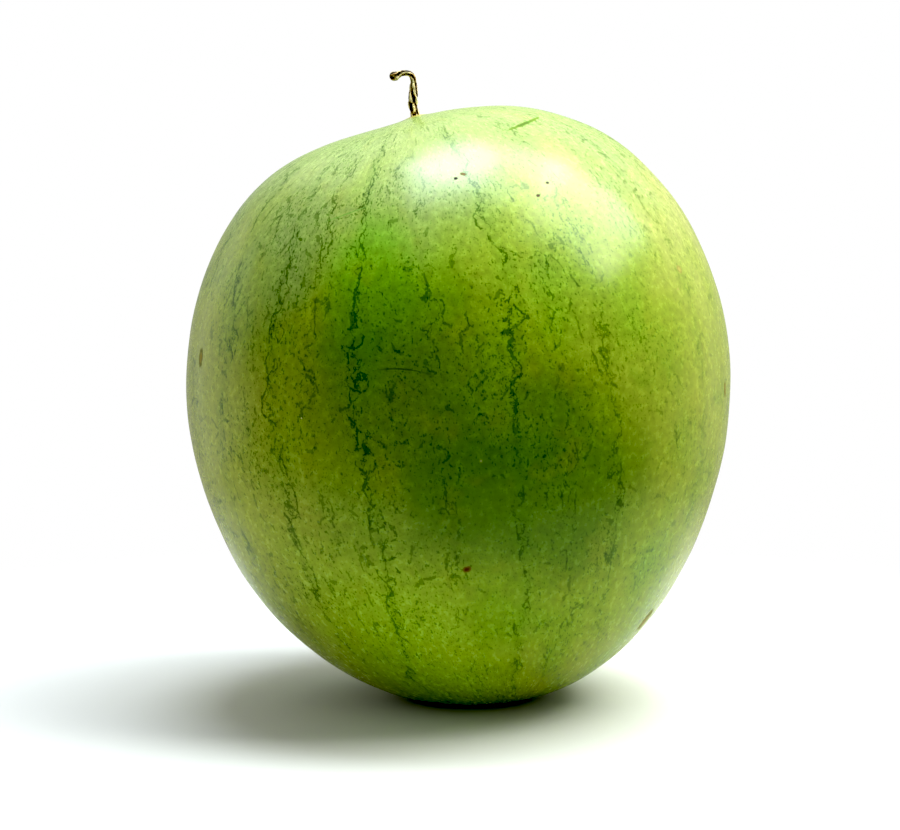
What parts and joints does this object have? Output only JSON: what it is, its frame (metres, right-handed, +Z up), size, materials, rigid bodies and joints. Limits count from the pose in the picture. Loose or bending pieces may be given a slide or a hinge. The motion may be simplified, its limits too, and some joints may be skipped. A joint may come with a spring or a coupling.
{
  "type": "watermelon",
  "caption": "Whole watermelon with a leaning, slightly pear-like round fruit and a short dried stalk that hooks over, resting on its own small flat spot.",
  "frame": {"origin": "on the ground, below the middle of the whole melon's bounding box", "axes": "+Z up from the resting spot to the stalk end, and the longest way; the stalk end leans towards -X; -Y is the front"},
  "size_m": [0.2404, 0.2364, 0.2788],
  "materials": {
    "rind": "satin",
    "stalk": "matte"
  },
  "bodies": {
    "root": {"fruit": "rind", "stalk": "stalk"}
  },
  "joints": []
}
